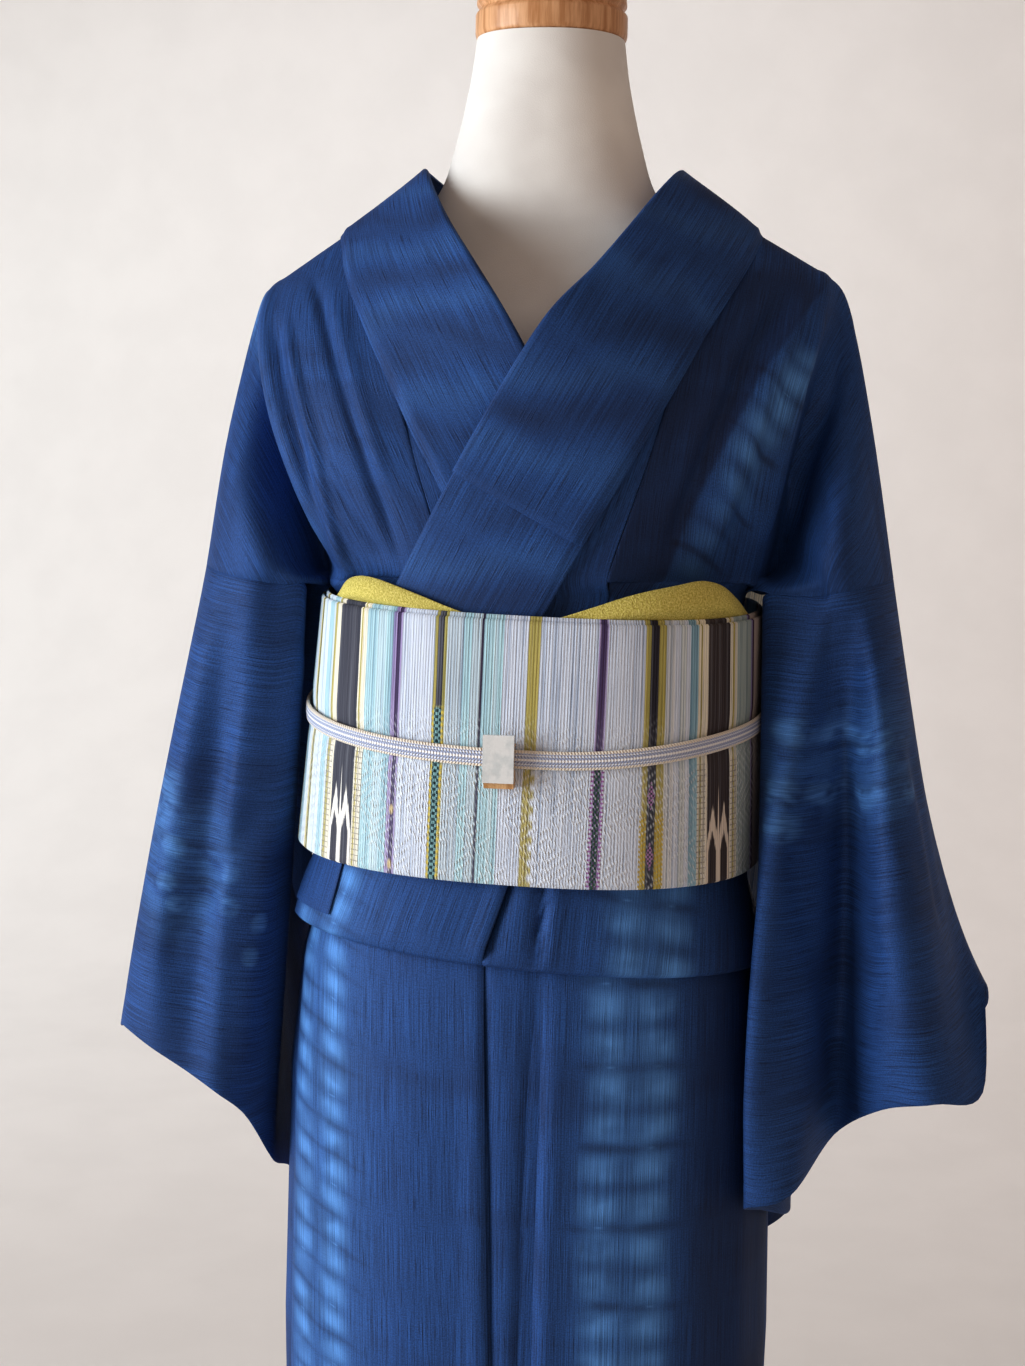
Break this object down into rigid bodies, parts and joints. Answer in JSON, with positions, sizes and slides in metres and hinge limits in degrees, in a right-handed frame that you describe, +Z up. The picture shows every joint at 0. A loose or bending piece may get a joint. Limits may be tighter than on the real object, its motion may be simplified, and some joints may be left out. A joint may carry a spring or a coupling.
{
  "type": "tsumugi kimono with obi on a limbless dress form",
  "caption": "Worn-form tsumugi silk kimono, overlapped at the front and held by a patterned obi with cord and sash, on a limbless dress form with a round stand.",
  "frame": {"origin": "centre of the stand's underside, under the dress form's pole", "axes": "+Z up; the garment faces -Y; +X is the wearer's left, the viewer's right"},
  "size_m": [0.5813, 0.3667, 1.4963],
  "materials": {
    "tsumugi": "slubbed silk, plain weave, with faint tie-dyed blotches",
    "obi_weave": "woven silk with coloured warp stripes and ikat arrowheads",
    "crepe": "crepe silk, matt",
    "braid": "flat silk braid",
    "dome_wood": "oiled",
    "glaze": "glazed, slightly uneven",
    "form_cloth": "plain knitted cover, matt",
    "form_wood": "satin varnish",
    "form_steel": "satin"
  },
  "bodies": {
    "root": {"body_left": "tsumugi", "body_right": "tsumugi", "okumi_left": "tsumugi", "okumi_right": "tsumugi", "collar": "tsumugi", "collar_cover": "tsumugi", "sleeve_left": "tsumugi", "sleeve_right": "tsumugi", "collar_end": "tsumugi", "obi_wrap": "obi_weave", "obi_drum": "obi_weave", "obi_tail": "obi_weave", "obi_end": "obi_weave", "obiage": "crepe", "obijime": "braid", "obidome_base": "dome_wood", "obidome_plate": "glaze", "form_torso": "form_cloth", "form_neck_cap": "form_wood", "form_flange": "form_steel", "form_pole": "form_steel", "form_base": "form_wood"}
  },
  "joints": []
}
